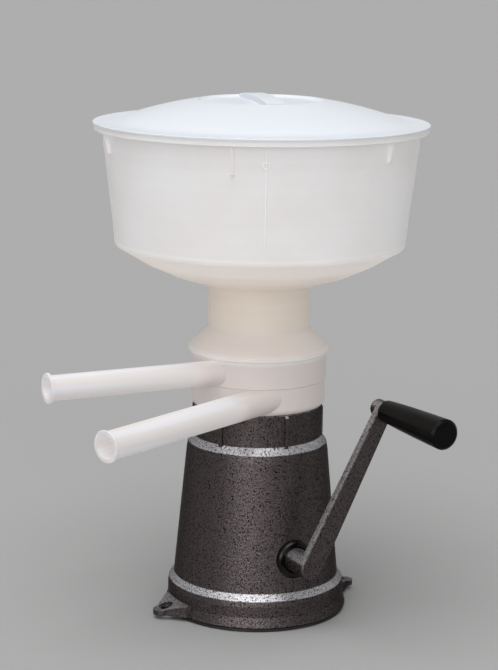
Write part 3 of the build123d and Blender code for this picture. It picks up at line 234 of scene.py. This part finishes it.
def milky_plastic(name, tones, clouding, ringing, glow, spout_angle=None, shine=0.25):
    """Translucent polypropylene: tone by height, faint flow clouds and rings, a satin moulded skin.

    The tones and the glow are ramp stops by height. A spout angle adds the look of a spout that
    points that way.
    """
    s = Shader(name)
    s.set(IOR=1.46, Specular_IOR_Level=shine)
    place = s.split(s.position)
    height = s.maths("DIVIDE", place["Z"], TONE_HEIGHT)
    tone = s.ramp(height, *tones)
    clouds = s.ramp(s.noise(14, 3, 0.55), (0.3, clouding), (0.7, 0.0))
    tone = s.mix(clouds, tone, CLOUD_TONE)
    rings = s.noise(1.0, 2, 0.6, s.stretched((0, 0, 170)))
    ringed = s.ramp(rings, (0.35, ringing), (0.6, 0.0))
    ringed = s.maths("MULTIPLY", ringed, s.ramp(height, *RING_ZONE))
    tone = s.mix(ringed, tone, RING_TONE)
    if spout_angle is not None:
        # Cool flow streaks that run the length of the spout and fade out at its root
        along, beside = s.turned(place, spout_angle)
        path = s.add("ShaderNodeCombineXYZ")
        for socket, value, scale in zip(path.inputs, (along, beside, place["Z"]), (3.0, 170.0, 170.0)):
            s.feed(socket, s.maths("MULTIPLY", value, scale))
        streaks = s.ramp(s.noise(1.0, 1, 0.5, path.outputs[0]), (0.46, 0.0), (0.62, 0.75))
        # Along the spout the colour is darkened, set against the stronger painted glow given to it below
        rooted = s.step(s.maths("MULTIPLY", along, -1.0), -SPOUT_START, SPOUT_BLEND)
        tone = s.mix(s.maths("MULTIPLY", rooted, 0.9), tone, SPOUT_TONE)
        tone = s.mix(s.maths("MULTIPLY", streaks, rooted), tone, STREAK_TONE)
    ahead, across = s.turned(place, WELD_ANGLE)
    mark = weld_mark(s, place["Z"], ahead, across)
    tone = s.mix(mark, tone, (1, 1, 1))
    s.set(Base_Color=tone)
    # Painted glow: emission by height, more along the spouts, that lightens the walls' shade in place of
    # light passing through the translucent plastic
    painted_glow = s.ramp(height, *glow)
    if spout_angle is not None:
        painted_glow = s.maths("ADD", painted_glow, s.maths("MULTIPLY", rooted, SPOUT_GLOW))
    s.set(Emission_Strength=1.0, Emission_Color=s.mix(painted_glow, (0, 0, 0), tone))
    s.set(Roughness=s.ramp(s.noise(60, 3), (0.3, 0.30), (0.7, 0.40)))
    skin = s.bump(s.noise(420, 2), 0.06, 0.0004)
    s.set(Normal=s.bump(mark, 0.8, 0.0006, skin))
    return s.material


def black_plastic():
    """Satin black moulding with a fine grain and slightly rubbed patches."""
    s = Shader("grip_plastic")
    s.set(Specular_IOR_Level=0.1)
    rub = s.noise(35, 3)
    s.set(Base_Color=s.ramp(rub, (0.3, (0.001, 0.001, 0.001)), (0.8, (0.004, 0.004, 0.004))))
    s.set(Roughness=s.ramp(rub, (0.3, 0.29), (0.7, 0.38)))
    s.set(Normal=s.bump(s.noise(1600, 2), 0.12, 0.0002))
    return s.material


def rubber():
    """Moulded black rubber, shiny where it is rubbed, with a faint bloom."""
    s = Shader("black_rubber")
    s.set(Specular_IOR_Level=0.25)
    bloom = s.noise(90, 4)
    s.set(Base_Color=s.ramp(bloom, (0.3, (0.001, 0.001, 0.001)), (0.8, (0.004, 0.004, 0.004))))
    s.set(Roughness=s.ramp(bloom, (0.3, 0.14), (0.7, 0.24)))
    s.set(Normal=s.bump(bloom, 0.06, 0.0003))
    return s.material


def plate_paint():
    """The base plate's dull black paint, worn in patches."""
    s = Shader("plate_paint")
    s.set(Metallic=0.2)
    wear = s.noise(50, 4)
    s.set(Base_Color=s.ramp(wear, (0.3, (0.012, 0.011, 0.011)), (0.8, (0.035, 0.031, 0.031))))
    s.set(Roughness=s.ramp(wear, (0.3, 0.40), (0.7, 0.52)))
    s.set(Normal=s.bump(s.noise(700, 3), 0.2, 0.0003))
    return s.material


def turned_metal(name, dark, light, roughness):
    """Lathe-turned metal: fine rings stretched around the spindle axis."""
    s = Shader(name)
    s.set(Metallic=1.0)
    lines = s.noise(1.0, 2, 0.6, s.stretched((40, 40, 2600)))
    s.set(Base_Color=s.ramp(lines, (0.3, dark), (0.7, light)))
    s.set(Roughness=s.ramp(lines, (0.3, roughness - 0.06), (0.7, roughness + 0.08)))
    s.set(Normal=s.bump(lines, 0.08, 0.0002))
    return s.material


def white_plastic():
    """Opaque white moulding for the small inner parts."""
    s = Shader("white_plastic")
    tone = s.noise(30, 3)
    s.set(Base_Color=s.ramp(tone, (0.3, (0.78, 0.77, 0.74)), (0.8, (0.86, 0.85, 0.82))))
    s.set(Roughness=s.ramp(tone, (0.3, 0.30), (0.7, 0.38)))
    s.set(Normal=s.bump(s.noise(500, 2), 0.05, 0.0003))
    return s.material


BLUSH = (0.765, 0.70, 0.68)
SAND = (0.84, 0.78, 0.74)
BEIGE = (0.89, 0.80, 0.71)
WARM = (0.93, 0.86, 0.82)
NEUTRAL = (0.90, 0.89, 0.895)
COOL = (0.775, 0.815, 0.87)
# Painted highlight colour for the thin bright lines along a rim and a corner
PAINTED_EDGE_HIGHLIGHT = (0.97, 0.95, 0.94)

# Tone by height; the two thin bright bands are painted highlight lines near 0.233 m high and along the
# bowl's corner near 0.330 m
PLASTIC_TONES = (
    (0.40, BLUSH),
    (0.503, BLUSH),
    (0.506, PAINTED_EDGE_HIGHLIGHT),
    (0.522, SAND),
    (0.55, SAND),
    (0.57, BEIGE),
    (0.65, BEIGE),
    (0.69, WARM),
    (0.714, WARM),
    (0.716, PAINTED_EDGE_HIGHLIGHT),
    (0.722, PAINTED_EDGE_HIGHLIGHT),
    (0.726, NEUTRAL),
    (0.90, NEUTRAL),
)

# Painted glow: emission strength by height for the plastic
PLASTIC_GLOW = (
    (0.40, 0.06),
    (0.50, 0.06),
    (0.55, 0.06),
    (0.64, 0.10),
    (0.69, 0.27),
    (0.712, 0.27),
    (0.72, 0.11),
    (0.9, 0.11),
)

MATERIALS = {
    "hammered_paint": hammered_paint("hammered_paint", 1.0),
    "plate_paint": plate_paint(),
    "black_rubber": rubber(),
    "steel": turned_metal("steel", (0.42, 0.42, 0.43), (0.62, 0.62, 0.64), 0.32),
    "bearing_steel": turned_metal("bearing_steel", (0.6, 0.6, 0.62), (0.72, 0.72, 0.74), 0.16),
    "bronze": turned_metal("bronze", (0.48, 0.3, 0.12), (0.66, 0.45, 0.2), 0.34),
    "drum_aluminium": turned_metal("drum_aluminium", (0.62, 0.63, 0.65), (0.78, 0.79, 0.81), 0.3),
    "milky_plastic": milky_plastic("milky_plastic", PLASTIC_TONES, 0.25, 0.12, PLASTIC_GLOW),
    "lid_plastic": milky_plastic("lid_plastic", ((0.0, COOL),), 0.08, 0.0, ((0.0, 0.03),), shine=0.1),
    "white_plastic": white_plastic(),
    "grip_plastic": black_plastic(),
}

for subpart in frame["record"]["subparts"]:
    mesh = nodes[subpart["node"]].data
    mesh.materials.clear()
    mesh.materials.append(MATERIALS[subpart["material_slot"]])
# The arm's paint gets a weaker painted highlight on its upward bevel surfaces
nodes["crank_arm"].data.materials[0] = hammered_paint("arm_paint", 0.85)
for name, spout_angle in (("cream_receiver", CREAM_SPOUT_ANGLE), ("skim_receiver", SKIM_SPOUT_ANGLE)):
    spouted = milky_plastic(f"{name}_plastic", PLASTIC_TONES, 0.25, 0.0, PLASTIC_GLOW, spout_angle)
    nodes[name].data.materials[0] = spouted


# ---------------------------------------------------------------- stage and camera


def stage_floor():
    """A plain pale floor, large enough to fill the whole view."""
    sides = ((-1, -1), (1, -1), (1, 1), (-1, 1))
    corners = [(x * HALF_FLOOR, y * HALF_FLOOR, -FLOOR_DROP) for x, y in sides]
    mesh = bpy.data.meshes.new("floor")
    mesh.from_pydata(corners, [], [(0, 1, 2, 3)])
    floor = bpy.data.objects.new("floor", mesh)
    bpy.context.scene.collection.objects.link(floor)
    s = Shader("floor_paper")
    s.set(Roughness=0.9, Specular_IOR_Level=0.0, Base_Color=(FLOOR_TONE, FLOOR_TONE, FLOOR_TONE))
    mesh.materials.append(s.material)


def soft_sun(name, turn, height, strength, spread):
    """A distant soft light; turn is degrees round from the camera's side, height degrees above level."""
    data = bpy.data.lights.new(name, "SUN")
    data.energy = strength
    data.angle = radians(spread)
    light = bpy.data.objects.new(name, data)
    bpy.context.scene.collection.objects.link(light)
    around = radians(CAMERA_SIDE + turn)
    up = radians(height)
    source = Vector((cos(around) * cos(up), sin(around) * cos(up), sin(up)))
    light.rotation_euler = source.to_track_quat("Z", "Y").to_euler()
    return light


def studio():
    """Even light all round, a large soft light overhead and another from the front."""
    world = bpy.data.worlds.new("studio")
    bpy.context.scene.world = world
    world.use_nodes = True
    world.node_tree.nodes["Background"].inputs["Color"].default_value = (1, 1, 1, 1)
    world.node_tree.nodes["Background"].inputs["Strength"].default_value = 0.42
    soft_sun("overhead_softbox", -20, 72, 1.7, 50)
    soft_sun("front_softbox", -4, 14, 0.95, 60)
    # Adds only to the gloss, as a bright card beside the camera would
    gleam = soft_sun("gleam_card", -14, 4, 1.0, 34)
    gleam.visible_diffuse = False


def camera():
    """The viewpoint: about 28 degrees round from the crank side and 11.5 degrees above level."""
    data = bpy.data.cameras.new("camera")
    data.sensor_fit = "VERTICAL"
    data.sensor_height = 36
    data.lens = CAMERA_LENS
    data.clip_end = 60
    eye = bpy.data.objects.new("camera", data)
    bpy.context.scene.collection.objects.link(eye)
    forward = Vector(CAMERA_FORWARD).normalized()
    turn = forward.to_track_quat("-Z", "Y").to_matrix().to_4x4()
    roll = Matrix.Rotation(CAMERA_ROLL, 4, "Z")
    eye.matrix_world = Matrix.Translation(CAMERA_PLACE) @ turn @ roll
    bpy.context.scene.camera = eye


stage_floor()
studio()
camera()
bpy.context.scene.view_settings.view_transform = "Standard"
